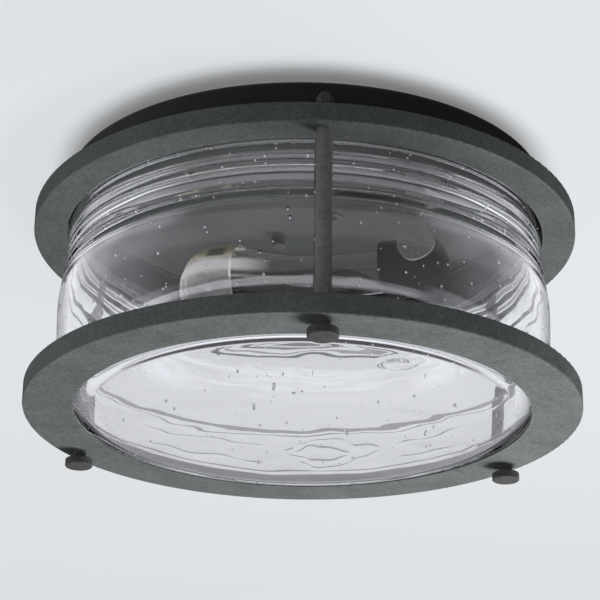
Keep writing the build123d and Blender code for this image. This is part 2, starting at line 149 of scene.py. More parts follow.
def plug(tree, socket, value):
    """Links a socket to another one, or sets its plain value."""
    if isinstance(value, bpy.types.NodeSocket):
        tree.links.new(value, socket)
    else:
        socket.default_value = value


def calc(tree, kind, *values):
    """The result of a math node on sockets or numbers."""
    node = add(tree, "ShaderNodeMath", operation=kind)
    for socket, value in zip(node.inputs, values):
        plug(tree, socket, value)
    return node.outputs["Value"]


def chain(tree, kind, *values):
    """Sockets and numbers joined one after another by one kind of math."""
    out = values[0]
    for value in values[1:]:
        out = calc(tree, kind, out, value)
    return out


def vector_calc(tree, kind, *values):
    """A vector math node on sockets or plain vectors."""
    node = add(tree, "ShaderNodeVectorMath", operation=kind)
    for socket, value in zip(node.inputs, values):
        plug(tree, socket, value)
    return node


def object_place(tree):
    """The object's own coordinates."""
    return add(tree, "ShaderNodeTexCoord").outputs["Object"]


def split(tree, vector):
    """The X, Y and Z of a vector."""
    node = add(tree, "ShaderNodeSeparateXYZ")
    tree.links.new(vector, node.inputs["Vector"])
    return [node.outputs[k] for k in "XYZ"]


def noise_node(tree, vector, scale, detail=4.0, roughness=0.55):
    """Fractal noise over a vector."""
    node = add(tree, "ShaderNodeTexNoise")
    node.inputs["Scale"].default_value = scale
    node.inputs["Detail"].default_value = detail
    node.inputs["Roughness"].default_value = roughness
    tree.links.new(vector, node.inputs["Vector"])
    return node.outputs["Fac"]


def ramp(tree, factor, stops):
    """A colour ramp through (place, colour) stops."""
    node = add(tree, "ShaderNodeValToRGB")
    elements = node.color_ramp.elements
    while len(elements) < len(stops):
        elements.new(0.5)
    for element, (place, colour) in zip(elements, stops):
        element.position = place
        element.color = (*colour, 1.0)
    tree.links.new(factor, node.inputs["Fac"])
    return node.outputs["Color"]


def spread(tree, value, low, high, to_low=0.0, to_high=1.0):
    """A value mapped from one range to another and held inside it."""
    node = add(tree, "ShaderNodeMapRange", clamp=True)
    node.inputs["From Min"].default_value = low
    node.inputs["From Max"].default_value = high
    node.inputs["To Min"].default_value = to_low
    node.inputs["To Max"].default_value = to_high
    tree.links.new(value, node.inputs["Value"])
    return node.outputs["Result"]


def band(tree, value, start, full, hold, end, level=1.0):
    """0 up to start, level from full to hold, and 0 again from end."""
    rise = spread(tree, value, start, full)
    return calc(tree, "MULTIPLY", rise, spread(tree, value, end, hold, 0.0, level))


# Sockets of a mix node's two values and of its result, by what it mixes
MIX_SOCKETS = {"FLOAT": (2, 3, 0), "RGBA": (6, 7, 2)}


def mix(tree, factor, a, b, blend="MIX", kind="RGBA"):
    """Two colours or numbers mixed by a factor; each may be a socket or a plain value."""
    node = add(tree, "ShaderNodeMix", data_type=kind, blend_type=blend)
    first, second, result = MIX_SOCKETS[kind]
    plug(tree, node.inputs["Factor"], factor)
    plug(tree, node.inputs[first], a)
    plug(tree, node.inputs[second], b)
    return node.outputs[result]


def from_axis(tree, at, centre=(0.0, 0.0)):
    """Distance from an upright axis through centre."""
    off = vector_calc(tree, "SUBTRACT", at, (*centre, 0.0)).outputs["Vector"]
    flat = vector_calc(tree, "MULTIPLY", off, (1.0, 1.0, 0.0)).outputs["Vector"]
    return vector_calc(tree, "LENGTH", flat).outputs["Value"]


def bump(tree, shader, height, strength, distance):
    """Fine relief on the shader's normal."""
    node = add(tree, "ShaderNodeBump")
    node.inputs["Strength"].default_value = strength
    node.inputs["Distance"].default_value = distance
    tree.links.new(height, node.inputs["Height"])
    tree.links.new(node.outputs["Normal"], shader.inputs["Normal"])


def edge_mask(tree, radius):
    """1 along sharp edges and 0 on flat faces."""
    bevel = add(tree, "ShaderNodeBevel", samples=6)
    bevel.inputs["Radius"].default_value = radius
    plain = add(tree, "ShaderNodeNewGeometry")
    dot = vector_calc(tree, "DOT_PRODUCT", bevel.outputs["Normal"], plain.outputs["Normal"])
    return spread(tree, dot.outputs["Value"], 0.995, 0.86)


def iron_material(name, paint, painted_shade_beyond=None, pale_within=None):
    """Rough painted iron: mottled grey, pitted, with paler edges that are partly wear and partly painted
    highlight.

    It is darkened by painted shade outside the radius painted_shade_beyond, and pale inside a radius and
    above a height, if given.
    """
    dark, light, edge = paint
    mat, tree, shader = new_material(name)
    at = object_place(tree)
    cloud = noise_node(tree, at, 34.0, detail=6.0, roughness=0.62)
    grain = noise_node(tree, at, 520.0, detail=3.0, roughness=0.6)
    pits = noise_node(tree, at, 1500.0, detail=2.0, roughness=0.5)
    colour = ramp(tree, cloud, [(0.34, dark), (0.66, light)])
    speck = ramp(tree, grain, [(0.38, (0.74, 0.74, 0.74)), (0.62, (1.18, 1.18, 1.18))])
    colour = mix(tree, 0.65, colour, speck, "MULTIPLY")
    # Paler edges: partly wear, partly painted highlight along rounded edges.
    patchy = spread(tree, grain, 0.35, 0.65, 0.25, 0.8)
    edge_wear_and_highlight = calc(tree, "MULTIPLY", edge_mask(tree, radius=0.0012), patchy)
    colour = mix(tree, edge_wear_and_highlight, colour, (*edge, 1.0))
    if painted_shade_beyond:
        # Painted shade: darker outside the radius painted_shade_beyond.
        painted_shade_mask = spread(tree, from_axis(tree, at), painted_shade_beyond, painted_shade_beyond + 0.004, 0.0, 0.7)
        colour = mix(tree, painted_shade_mask, colour, PAINTED_SHADE_TONE)
    if pale_within:
        radius, height = pale_within
        inside = spread(tree, from_axis(tree, at), radius, radius + 0.0002, 1.0, 0.0)
        above = spread(tree, split(tree, at)[2], height - 0.0002, height)
        colour = mix(tree, calc(tree, "MULTIPLY", inside, above), colour, PALE_LINING)
    tree.links.new(colour, shader.inputs["Base Color"])
    tree.links.new(spread(tree, cloud, 0.3, 0.7, 0.50, 0.66), shader.inputs["Roughness"])
    shader.inputs["Metallic"].default_value = 0.0
    shader.inputs["Specular IOR Level"].default_value = 0.18
    relief = calc(tree, "MULTIPLY_ADD", pits, 0.5, grain)
    bump(tree, shader, relief, strength=0.35, distance=0.0005)
    return mat


def glass_material(name, colour, ior, roughness=0.0):
    """Clear glass."""
    mat, _, shader = new_material(name)
    shader.inputs["Base Color"].default_value = (*colour, 1.0)
    shader.inputs["Roughness"].default_value = roughness
    shader.inputs["IOR"].default_value = ior
    shader.inputs["Transmission Weight"].default_value = 1.0
    return mat


def denser_neck(mat, low, high, ior_low, ior_high):
    """Glass that mirrors more from one height up to another, where the mould worked it."""
    tree = mat.node_tree
    height = split(tree, object_place(tree))[2]
    rise = spread(tree, height, low, high, ior_low, ior_high)
    tree.links.new(rise, tree.nodes["Principled BSDF"].inputs["IOR"])


def painted_reflection_material(name, colour, ior):
    """Clear glass whose far end carries a painted reflection on its near half: a pale coat shaded by height,
    brassy on top and broken into rings at its tip, with painted highlight streaks, a painted highlight line
    at its edge and a faint painted glow.
    """
    mat, tree, shader = new_material(name)
    at = object_place(tree)

    def along(direction):
        """How far a point lies along a direction, and where the lampholder's mouth lies on it."""
        node = vector_calc(tree, "DOT_PRODUCT", at, direction)
        return node.outputs["Value"], LAMP_MOUTH.dot(direction)

    def step(measure, low, high, to_low=0.0, to_high=1.0):
        """A rise between two places in millimetres from the mouth."""
        value, mouth = measure
        return spread(tree, value, (mouth + low) * MM, (mouth + high) * MM, to_low, to_high)

    def strip(measure, *places, level=1.0):
        """A band between four places in millimetres from the mouth."""
        value, mouth = measure
        return band(tree, value, *((mouth + place) * MM for place in places), level)

    def times(a, b):
        """Two masks multiplied."""
        return calc(tree, "MULTIPLY", a, b)

    out = along(LAMP_OUT)
    high = along(UP)
    # The painted reflection lies only on the bulb's near half.
    facing = step(along(LAMP_NEAR), -3.0, 3.0)
    # Streaks along the bulb are painted highlights, the wide one pale.
    wide_highlight = times(strip(high, 0.0, 3.0, 8.0, 10.5), step(out, 67.0, 86.0, 0.0, 0.95))
    thin_highlight = times(strip(high, -4.5, -3.5, -2.5, -1.5), step(out, 66.0, 88.0, 0.0, 0.5))
    # Rings near the tip, where the coat thins, are part of the painted reflection.
    rings = calc(tree, "SINE", step(out, 116.0, 132.0, 0.0, 24.0))
    thinner = times(step(out, 114.0, 124.0), spread(tree, rings, -0.4, 0.9, 0.15, 0.75))
    dome = times(step(out, 89.4, 90.2), spread(tree, thinner, 0.0, 1.0, 1.0, 0.0))
    reflection_mask = times(chain(tree, "MAXIMUM", dome, wide_highlight, thin_highlight), facing)

    # Tone by height is painted light and shade.
    reflection_tone = ramp(tree, step(high, -15.0, 25.0), PAINTED_REFLECTION_TONES)
    cloud = noise_node(tree, at, 190.0, detail=2.0)
    mottle = ramp(tree, cloud, [(0.35, (0.6, 0.58, 0.52)), (0.6, (1.1, 1.1, 1.1))])
    reflection_tone = mix(tree, 0.5, reflection_tone, mottle, "MULTIPLY")
    reflection_tone = mix(tree, wide_highlight, reflection_tone, (0.66, 0.64, 0.65, 1.0))
    dark_patch = times(strip(out, 93.0, 96.0, 105.0, 109.0), strip(high, 11.5, 13.0, 18.5, 20.5, level=0.9))
    reflection_tone = mix(tree, dark_patch, reflection_tone, (0.04, 0.04, 0.036, 1.0))
    # A painted highlight line across the coat's edge.
    highlight_line = times(strip(out, 89.2, 89.7, 90.5, 91.1), strip(high, -6.0, -3.0, 7.0, 10.0, level=0.9))
    reflection_tone = mix(tree, highlight_line, reflection_tone, (0.92, 0.92, 0.90, 1.0))

    tree.links.new(mix(tree, reflection_mask, (*colour, 1.0), reflection_tone), shader.inputs["Base Color"])
    # The coat glows faintly: painted light, since the bulb is not lit.
    tree.links.new(mix(tree, reflection_mask, (0.0, 0.0, 0.0, 1.0), reflection_tone), shader.inputs["Emission Color"])
    shader.inputs["Emission Strength"].default_value = 0.36
    tree.links.new(spread(tree, reflection_mask, 0.0, 1.0, 1.0, 0.25), shader.inputs["Transmission Weight"])
    tree.links.new(spread(tree, reflection_mask, 0.0, 1.0, 0.02, 0.3), shader.inputs["Roughness"])
    shader.inputs["IOR"].default_value = ior
    bump(tree, shader, noise_node(tree, at, 70.0, detail=1.0), strength=0.25, distance=0.002)
    return mat


def metal_material(name, dark, light, roughness, scale):
    """Bare or plated metal with a faint cloudy tarnish."""
    mat, tree, shader = new_material(name)
    at = object_place(tree)
    cloud = noise_node(tree, at, scale, detail=5.0)
    tree.links.new(ramp(tree, cloud, [(0.3, dark), (0.7, light)]), shader.inputs["Base Color"])
    sheen = spread(tree, cloud, 0.3, 0.7, roughness + 0.1, roughness)
    tree.links.new(sheen, shader.inputs["Roughness"])
    shader.inputs["Metallic"].default_value = 1.0
    bump(tree, shader, noise_node(tree, at, scale * 12, detail=2.0), strength=0.1, distance=0.0002)
    return mat


def plain_material(name, dark, light, roughness, scale, relief):
    """Plastic, rubber or dark glass with a fine skin."""
    mat, tree, shader = new_material(name)
    at = object_place(tree)
    cloud = noise_node(tree, at, scale, detail=4.0)
    tree.links.new(ramp(tree, cloud, [(0.3, dark), (0.7, light)]), shader.inputs["Base Color"])
    sheen = spread(tree, cloud, 0.3, 0.7, roughness - 0.06, roughness + 0.06)
    tree.links.new(sheen, shader.inputs["Roughness"])
    bump(tree, shader, noise_node(tree, at, 1400.0, detail=2.0), relief, distance=0.0003)
    return mat


iron = iron_material("iron_paint", RING_PAINT)
seat_iron = iron_material("lower_ring_paint", RING_PAINT, pale_within=REBATE)
shaded_upper_iron = iron_material("upper_ring_iron_painted_shade", SHADED_UPPER_RING_TONES)
warm_lit_rod_iron = iron_material("rod_iron_warm_painted_light", WARM_LIT_ROD_TONES)
shaded_pan_iron = iron_material("pan_iron_painted_shade", SHADED_PAN_TONES, painted_shade_beyond=CANOPY_PAINTED_SHADE_BEYOND)
shaded_nut_iron = iron_material("nut_iron_painted_shade", SHADED_NUT_TONES)
lit_strap_iron = iron_material("strap_iron_painted_light", LIT_STRAP_TONES)
clear_glass = glass_material("clear_glass", (0.985, 0.985, 0.997), ior=1.49)
denser_neck(clear_glass, low=-0.076, high=-0.060, ior_low=1.49, ior_high=1.92)
# The seeds are pale, nearly opaque beads: their brightness is a painted glint.
seed_painted_glint = glass_material("seed_painted_glint", (0.96, 0.96, 0.98), ior=1.45, roughness=0.12)
tune(seed_painted_glint, "Transmission Weight", 0.05)
# The bulb's glass carries a painted reflection.
bulb_painted_reflection = painted_reflection_material("bulb_painted_reflection", (1.0, 0.985, 0.96), ior=1.1)
stem_glass = glass_material("stem_glass", (0.98, 0.97, 0.95), ior=1.03)
brass = metal_material("brass", (0.60, 0.44, 0.19), (0.74, 0.57, 0.28), 0.28, 60.0)
zinc = metal_material("zinc", (0.48, 0.49, 0.50), (0.62, 0.62, 0.63), 0.34, 90.0)
solder = metal_material("solder", (0.52, 0.52, 0.53), (0.66, 0.66, 0.66), 0.4, 120.0)
tungsten = metal_material("tungsten", (0.16, 0.14, 0.12), (0.26, 0.23, 0.20), 0.45, 200.0)
green = metal_material("green_screw", (0.05, 0.22, 0.08), (0.07, 0.30, 0.11), 0.4, 90.0)
phenolic = plain_material("phenolic", (0.012, 0.010, 0.012), (0.020, 0.016, 0.019), 0.6, 70.0, 0.12)
tune(phenolic, "Specular IOR Level", 0.2)
rubber = plain_material("rubber", (0.020, 0.020, 0.020), (0.034, 0.034, 0.034), 0.78, 60.0, 0.3)
silicone = plain_material("silicone", (0.62, 0.62, 0.63), (0.70, 0.70, 0.71), 0.5, 60.0, 0.1)
nylon = plain_material("nylon", (0.035, 0.035, 0.036), (0.055, 0.055, 0.056), 0.5, 80.0, 0.15)
black_glass = plain_material("black_glass", (0.006, 0.006, 0.007), (0.012, 0.012, 0.013), 0.14, 50.0, 0.03)

by_slot = {
    "iron": iron,
    "clear_glass": clear_glass,
    "amber_glass": bulb_painted_reflection,
    "stem_glass": stem_glass,
    "black_glass": black_glass,
    "brass": brass,
    "solder": solder,
    "filament": tungsten,
    "phenolic": phenolic,
    "steel": zinc,
    "ground_green": green,
    "rubber": rubber,
    "nylon": nylon,
}
by_node = {
    "canopy_pan": shaded_pan_iron,
    "upper_ring": shaded_upper_iron,
    "lower_ring": seat_iron,
    "pan_cap_nuts": shaded_nut_iron,
    "rod_cap_nuts": shaded_nut_iron,
    "lampholder_bracket": lit_strap_iron,
    "lampholder_rivet": lit_strap_iron,
    "seat_gasket": silicone,
}
for i in (1, 2, 3):
    by_node[f"rod_{i}"] = warm_lit_rod_iron
    by_node[f"thumb_nut_{i}"] = shaded_nut_iron
    by_node[f"thumb_washer_{i}"] = shaded_nut_iron
for part in frame["record"]["subparts"]:
    mesh = nodes[part["node"]].data
    mesh.materials.clear()
    mesh.materials.append(by_node.get(part["node"], by_slot[part["material_slot"]]))


# Shapes, in millimetres


# Number of points in each stretch of the jar's outline, and how they crowd towards the base of the heel
BASE_POINTS = 44
HEEL_TRIES = 1200
HEEL_CROWDING = 1.3
SHOULDER_POINTS = 70
NECK_POINTS = 60
MOUTH_POINTS = 12

# Least distance between points of the heel, outside, inside and within the wall
OUTER_STEP = 0.9
INNER_STEP = 0.45
SEED_STEP = 1.0

JAR_SEGMENTS = 480
RIM_POINTS = 8
ON_AXIS = 1e-6

# Beads left by the mould round the neck and shoulder: height, swell, spread above and below
RIDGES = (
    (-33.4, 0.85, 1.6, 1.6),
    (-42.3, 0.92, 1.8, 1.7),
    (-50.4, 0.95, 1.8, 1.7),
    (-62.6, 1.05, 3.4, 1.1),
    (-70.8, 0.22, 1.4, 0.9),
)

# Where the beads grow at the sides and flatten behind, and by how much. The lower ones grow more
RIDGE_SIDE = (80.0, 130.0)
RIDGE_FAR = (10.0, 70.0)
SIDE_SPREAD = 0.35
SIDE_SWELL = 0.45
LOWER_FROM = -40.0
LOWER_SPREAD = 0.45
LOWER_SWELL = 0.6
FAR_FLATTER = 0.6

# The far inside thickens towards the heel: where it starts, over what height, by how much and how far back
THICK_FROM = -99.0
THICK_OVER = 6.0
THICKER = 3.0
THICK_DEPTH = (-10.0, 60.0)
THICK_WANDER = 0.9
THICK_BEND = 60.0

# Wandering ripples inside the far heel: height, swell, spread, wander, length of a bend, first and full depth
RIPPLES = (
    (-107.5, 0.75, 0.95, 2.2, 48.0, 20.0, 80.0),
    (-113.5, 0.70, 0.90, 3.0, 30.0, 80.0, 110.0),
    (-126.0, 0.60, 0.95, 3.0, 30.0, 80.0, 110.0),
    (-132.5, 0.80, 1.0, 2.2, 52.0, 0.0, 60.0),
)

# Leaf-shaped press mark in the far heel: middle, reach and half height of its leaves, then its line
MARK_LEAVES = ((20.0, 34.0, 8.5), (12.0, 22.0, 4.5))
MARK_X = 20.0
MARK_Z = -119.0
MARK_DEPTH = (84.0, 114.0)
MARK_SWELL = 1.1
MARK_LINE = 0.95
MARK_TIP = 0.1
MARK_UNEVEN = 0.5
MARK_UNEVEN_BEND = 9.0
MARK_SWAY = 1.8
MARK_SWAY_BEND = 16.0

# Ripples with bends no longer than this keep clear of the press mark: none within the first distance from
# its middle, and full beyond the second
SHORT_BEND = 40.0
MARK_CLEAR = (34.0, 52.0)

# Oval flaw in the floor of the jar
FLAW_AT = (52.0, -94.0)
FLAW_R = 8.0
FLAW_LENGTHEN = 1.15
FLAW_SWELL = 0.16
FLAW_LINE = 1.6

# Slow waves of each face of the jar: swell, period and seed, then the share that lifts the floor
OUTER_WAVES = ((0.08, 52.0, 5.3), (0.02, 15.0, 1.9))
INNER_WAVES = ((0.22, 46.0, 3.1), (0.06, 17.0, 8.7))
OUTER_LIFT = 0.25
INNER_LIFT = 0.75

# The floor is flat within this radius and turns into the wall over this width
FLOOR_FLAT_R = 118.0
FLOOR_TURN = 16.0

# The neck is true for this height below the rim, and waves grow to their full swell over the next
TRUE_RIM = 8.0
TRUE_FADE = 12.0


def bezier(a, b, c, d, count):
    """Points on a cubic curve, the first one left out."""
    points = []
    for i in range(1, count + 1):
        t = i / count
        s = 1 - t
        weights = (s**3, 3 * s * s * t, 3 * s * t * t, t**3)
        points.append(tuple(sum(w * p[k] for w, p in zip(weights, (a, b, c, d))) for k in (0, 1)))
    return points


def straight(a, b, count):
    """Points on a line, the first one left out."""
    return [tuple(a[k] + (b[k] - a[k]) * i / count for k in (0, 1)) for i in range(1, count + 1)]


def thinned(points, step):
    """The points of a line that lie at least a step apart, with its first and last."""
    kept = [points[0]]
    for point in points[1:-1]:
        if math.dist(point, kept[-1]) >= step:
            kept.append(point)
    return kept + [points[-1]]


def jar_outline(inset, floor, step):
    """Half section of one face of the jar, from near the middle of its base up to its rim."""
    neck = NECK_R - inset
    bulge = BULGE_R - inset
    base = JAR_BASE + floor
    points = straight((0.0, base), (HEEL_CENTRE_R, base), BASE_POINTS)
    heel = [points[-1]]
    for i in range(1, HEEL_TRIES + 1):
        turn = math.pi / 2 * (1 - (i / HEEL_TRIES) ** HEEL_CROWDING)
        out = math.cos(turn) ** (2 / HEEL_FULLNESS)
        down = math.sin(turn) ** (2 / HEEL_FULLNESS)
        heel.append((HEEL_CENTRE_R + (bulge - HEEL_CENTRE_R) * out, BULGE_Z - (BULGE_Z - base) * down))
    points += thinned(heel, step)[1:]
    low_pull = (bulge, BULGE_Z + SHOULDER_LOW_PULL)
    high_pull = (neck, NECK_END - SHOULDER_HIGH_PULL)
    points += bezier((bulge, BULGE_Z), low_pull, high_pull, (neck, NECK_END), SHOULDER_POINTS)
    points += straight((neck, NECK_END), (neck, NECK_MIDDLE), NECK_POINTS)
    return points + straight((neck, NECK_MIDDLE), (neck, JAR_TOP), MOUTH_POINTS)


def held(value):
    """A value kept from 0 to 1."""
    return min(1.0, max(0.0, value))


def fade(value, low, high):
    """0 below low, 1 above high and smooth between."""
    t = held((value - low) / (high - low))
    return t * t * (3 - 2 * t)


def hump(away, wide):
    """1 at no distance and falling off smoothly over a width."""
    return math.exp(-((away / wide) ** 2))


def ridge_swell(x, y, z):
    """How far the mould ridges stand out here: broader at the sides, and the shoulder flatter behind."""
    side = fade(abs(x), *RIDGE_SIDE)
    far = fade(y, *RIDGE_FAR)
    total = 0.0
    for at, swell, above, below in RIDGES:
        lower = side * (at < LOWER_FROM)
        flatter = 1 - FAR_FLATTER * far * (at < NECK_END)
        spread_here = (above if z > at else below) * (1 + SIDE_SPREAD * side + LOWER_SPREAD * lower)
        swell_here = swell * (1 + SIDE_SWELL * side + LOWER_SWELL * lower) * flatter
        total += swell_here * hump(z - at, spread_here)
    return total


def ripple_swell(x, y, z):
    """How far the thickened heel, its ripples and its press mark stand in from the inner face."""
    start = THICK_FROM + THICK_WANDER * noise.noise(Vector((x / THICK_BEND, y / THICK_BEND, 2.5)))
    total = THICKER * fade(start - z, 0.0, THICK_OVER) * fade(y, *THICK_DEPTH)
    for at, swell, wide, wander, bend, first, full in RIPPLES:
        here = at + wander * noise.noise(Vector((x / bend, y / bend, at)))
        clear = 1.0 if bend > SHORT_BEND else fade(abs(x - MARK_X), *MARK_CLEAR)
        total += clear * fade(y, first, full) * swell * hump(z - here, wide)
    return total + fade(y, *MARK_DEPTH) * press_mark(x, z)


def press_mark(x, z):
    """A leaf-shaped mark that the mould left inside the far heel, with a smaller one inside it."""
    total = 0.0
    for middle, reach, half in MARK_LEAVES:
        along = (x - middle) / reach
        if abs(along) < 1:
            uneven = 1 + MARK_UNEVEN * noise.noise(Vector((x / MARK_UNEVEN_BEND, half, 4.4)))
            edge = half * (1 - along**2) * uneven
            sway = MARK_SWAY * noise.noise(Vector((x / MARK_SWAY_BEND, half, 8.8)))
            line = hump(abs(z - MARK_Z + sway) - edge, MARK_LINE)
            total += fade(1 - abs(along), 0.0, MARK_TIP) * line
    return MARK_SWELL * total


def floor_mark(x, y):
    """A small oval flaw in the floor of the jar."""
    oval = math.hypot((x - FLAW_AT[0]) / FLAW_LENGTHEN, y - FLAW_AT[1]) - FLAW_R
    return FLAW_SWELL * hump(oval, FLAW_LINE)


def drift(x, y, z, period, seed):
    """Slow waviness of poured glass, from -1 to 1."""
    return noise.noise(Vector((x / period + seed, y / period - seed, 1.6 * z / period + 2 * seed)))


def skin(rings, segments):
    """Faces between each ring of point numbers and the next; a ring of one point closes an end."""
    faces = []
    for low, high in zip(rings, rings[1:]):
        if len(low) + len(high) == 2:
            continue
        for s in range(segments):
            n = (s + 1) % segments
            if len(low) == 1:
                faces.append((low[0], high[n], high[s]))
            elif len(high) == 1:
                faces.append((low[s], low[n], high[0]))
            else:
                faces.append((low[s], low[n], high[n], high[s]))
    return faces


def mesh_object(name, verts, faces):
    """A smooth mesh object from points in millimetres."""
    mesh = bpy.data.meshes.new(name)
    mesh.from_pydata([Vector(v) * MM for v in verts], [], faces)
    mesh.validate()
    mesh.polygons.foreach_set("use_smooth", [True] * len(mesh.polygons))
    mesh.update()
    obj = bpy.data.objects.new(name, mesh)
    bpy.context.scene.collection.objects.link(obj)
    return obj


def turned_mesh(name, outline, segments, move=None, looped=False):
    """A lathed mesh. move(x, y, z, i) gives each point of outline row i its place.

    Where the outline doesn't end on the axis, looped joins its last ring to its first.
    """
    verts = []
    rings = []
    for i, (r, z) in enumerate(outline):
        ring = []
        for s in range(1 if r < ON_AXIS else segments):
            a = 2 * math.pi * s / segments
            place = (0.0, 0.0, z) if r < ON_AXIS else (r * math.cos(a), r * math.sin(a), z)
            ring.append(len(verts))
            verts.append(move(*place, i) if move else place)
        rings.append(ring)
    if looped:
        rings.append(rings[0])
    return mesh_object(name, verts, skin(rings, segments))


def dress(obj, material, body, slot, *stands_for):
    """Gives a piece its material and its body, and hides the nodes it stands for; its slot is not used."""
    obj.data.materials.clear()
    obj.data.materials.append(material)
    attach(obj, body)
    if stands_for:
        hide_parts(*stands_for)


def lets_light_through(obj):
    """Glass neither darkens what is behind it nor catches diffuse light."""
    obj.visible_shadow = False
    obj.visible_diffuse = False


def make_jar():
    """The glass jar: ridged outside, wavy inside, with a rounded rim."""
    outer = [(0.0, JAR_BASE)] + jar_outline(0.0, 0.0, OUTER_STEP)
    inner = [(0.0, JAR_BASE + FLOOR)] + jar_outline(WALL, FLOOR, INNER_STEP)
    outer[-1] = (NECK_R, JAR_TOP - RIM_HEIGHT)
    inner[-1] = (NECK_R - WALL, JAR_TOP - RIM_HEIGHT)
    rim = []
    for i in range(1, RIM_POINTS):
        a = math.pi * i / RIM_POINTS
        r = NECK_R - WALL / 2 + WALL / 2 * math.cos(a)
        rim.append((r, JAR_TOP - RIM_HEIGHT + RIM_HEIGHT * math.sin(a)))
    outline = outer + rim + inner[::-1]
    first_inner = len(outer) + len(rim)

    def move(x, y, z, i):
        """A point's place on the blown glass."""
        r = math.hypot(x, y)
        inside = i >= first_inner
        free = held((JAR_TOP - TRUE_RIM - z) / TRUE_FADE)
        waves = INNER_WAVES if inside else OUTER_WAVES
        wave = sum(swell * drift(x, y, z, period, seed) for swell, period, seed in waves) * free
        upright = held((r - FLOOR_FLAT_R) / FLOOR_TURN) if z < BULGE_Z else 1.0
        if inside:
            out = -wave - ripple_swell(x, y, z)
            lift = INNER_LIFT * wave
        else:
            out = wave + ridge_swell(x, y, z) * free
            lift = OUTER_LIFT * wave
        if inside and r < FLOOR_FLAT_R:
            lift += floor_mark(x, y)
        if r < ON_AXIS:
            return (x, y, z + lift)
        grow = 1 + upright * out / r
        return (x * grow, y * grow, z + (1 - upright) * lift)

    jar = turned_mesh("glass_jar_blown", outline, JAR_SEGMENTS, move)
    dress(jar, clear_glass, "lower_frame", "clear_glass", "glass_jar")
    lets_light_through(jar)


# Air seeds in the glass: how many, their sizes, and the heights between which they lie
WALL_SPECKS = 430
FLOOR_SPECKS = 120
WALL_BUBBLES = 70
SPECK_RADII = (0.36, 0.4, 0.46, 0.52, 0.6, 0.74)
FLOOR_SPECK_RADII = (0.25, 0.6)
BUBBLE_RADII = (0.8, 1.3)
SPECK_STRETCH = (1.0, 1.4)
BUBBLE_STRETCH = (0.9, 1.2)
FLOOR_SPECK_STRETCH = 0.8
SEED_HEIGHTS = (-138.0, -30.0)
FLANK_TOP = -24.0
FLANK_OUTSIDE = 6.0
SEED_ROWS = 6
SEED_AROUND = 10


def make_seeds():
    """Air seeds in the glass: pale, nearly opaque beads whose brightness is a painted glint, and larger
    hollow bubbles whose faces look inwards.
    """
    rng = random.Random(41)
    wall = jar_outline(WALL / 2, FLOOR / 2, SEED_STEP)
    flank = [p for p in wall if p[0] > HEEL_CENTRE_R + FLANK_OUTSIDE and SEED_HEIGHTS[0] < p[1] < FLANK_TOP]

    def ball(mesh, centre, radius, stretch, inward):
        """Adds a small ball to a mesh of points and faces."""
        verts, faces = mesh
        rings = []
        for i in range(SEED_ROWS + 1):
            t = math.pi * i / SEED_ROWS
            ring = []
            for k in range(SEED_AROUND if 0 < i < SEED_ROWS else 1):
                a = 2 * math.pi * k / SEED_AROUND
                spoke = Vector((math.sin(t) * math.cos(a), math.sin(t) * math.sin(a), math.cos(t) * stretch))
                ring.append(len(verts))
                verts.append(tuple(Vector(centre) + radius * spoke))
            rings.append(ring)
        faces += [face if inward else face[::-1] for face in skin(rings, SEED_AROUND)]

    def on_wall():
        """A random place in the middle of the wall."""
        z = rng.uniform(*SEED_HEIGHTS)
        r = min(flank, key=lambda p: abs(p[1] - z))[0]
        a = rng.uniform(0, 2 * math.pi)
        return (r * math.cos(a), r * math.sin(a), z)

    def on_floor():
        """A random place in the middle of the floor."""
        r = HEEL_CENTRE_R * math.sqrt(rng.uniform(0.0, 1.0))
        a = rng.uniform(0, 2 * math.pi)
        return (r * math.cos(a), r * math.sin(a), JAR_BASE + FLOOR / 2)

    specks = ([], [])
    bubbles = ([], [])
    for _ in range(WALL_SPECKS):
        ball(specks, on_wall(), rng.choice(SPECK_RADII), rng.uniform(*SPECK_STRETCH), False)
    for _ in range(FLOOR_SPECKS):
        ball(specks, on_floor(), rng.uniform(*FLOOR_SPECK_RADII), FLOOR_SPECK_STRETCH, False)
    for _ in range(WALL_BUBBLES):
        ball(bubbles, on_wall(), rng.uniform(*BUBBLE_RADII), rng.uniform(*BUBBLE_STRETCH), True)
    pieces = (("glass_seeds", specks, seed_painted_glint), ("glass_bubbles", bubbles, clear_glass))
    for name, mesh, material in pieces:
        piece = mesh_object(name, *mesh)
        dress(piece, material, "lower_frame", "clear_glass")
        lets_light_through(piece)


# Lamp: drawn along its own axis, then laid in the lampholder


def lamp_matrix():
    """Local +Z out of the socket, local +X up."""
    turn = Matrix((UP, LAMP_OUT.cross(UP), LAMP_OUT)).transposed().to_4x4()
    return Matrix.Translation(LAMP_MOUTH * MM) @ turn


def lay(obj):
    """Moves a lamp piece from its own frame to its place."""
    obj.data.transform(lamp_matrix())
    return obj


def make_bulb_glass():
    """The bulb's pear-shaped envelope, open at the end inside its base."""
    neck = 12.55
    belly = 28.5
    centre = 103.0
    start = 0.4
    open_end = -5.0
    wall = 0.8
    low_pull = start + (centre - start) * 0.8
    high_pull = start + (centre - start) * 0.72
    neck_points = 4
    side_points = 44
    dome_points = 24
    segments = 96

    def face(inset):
        """Half section of one face, from the open end to the top of the dome."""
        n, b = neck - inset, belly - inset
        points = [(n, open_end)]
        points += straight((n, open_end), (n, start), neck_points)
        points += bezier((n, start), (n, low_pull), (b, high_pull), (b, centre), side_points)
        for i in range(1, dome_points):
            a = math.pi / 2 * i / dome_points
            points.append((b * math.cos(a), centre + b * math.sin(a)))
        return points + [(0.0, centre + b)]

    outline = face(0.0) + face(wall)[::-1]
    bulb = lay(turned_mesh("bulb_envelope", outline, segments, looped=True))
    dress(bulb, bulb_painted_reflection, "bulb", "amber_glass", "bulb_glass")
    lets_light_through(bulb)


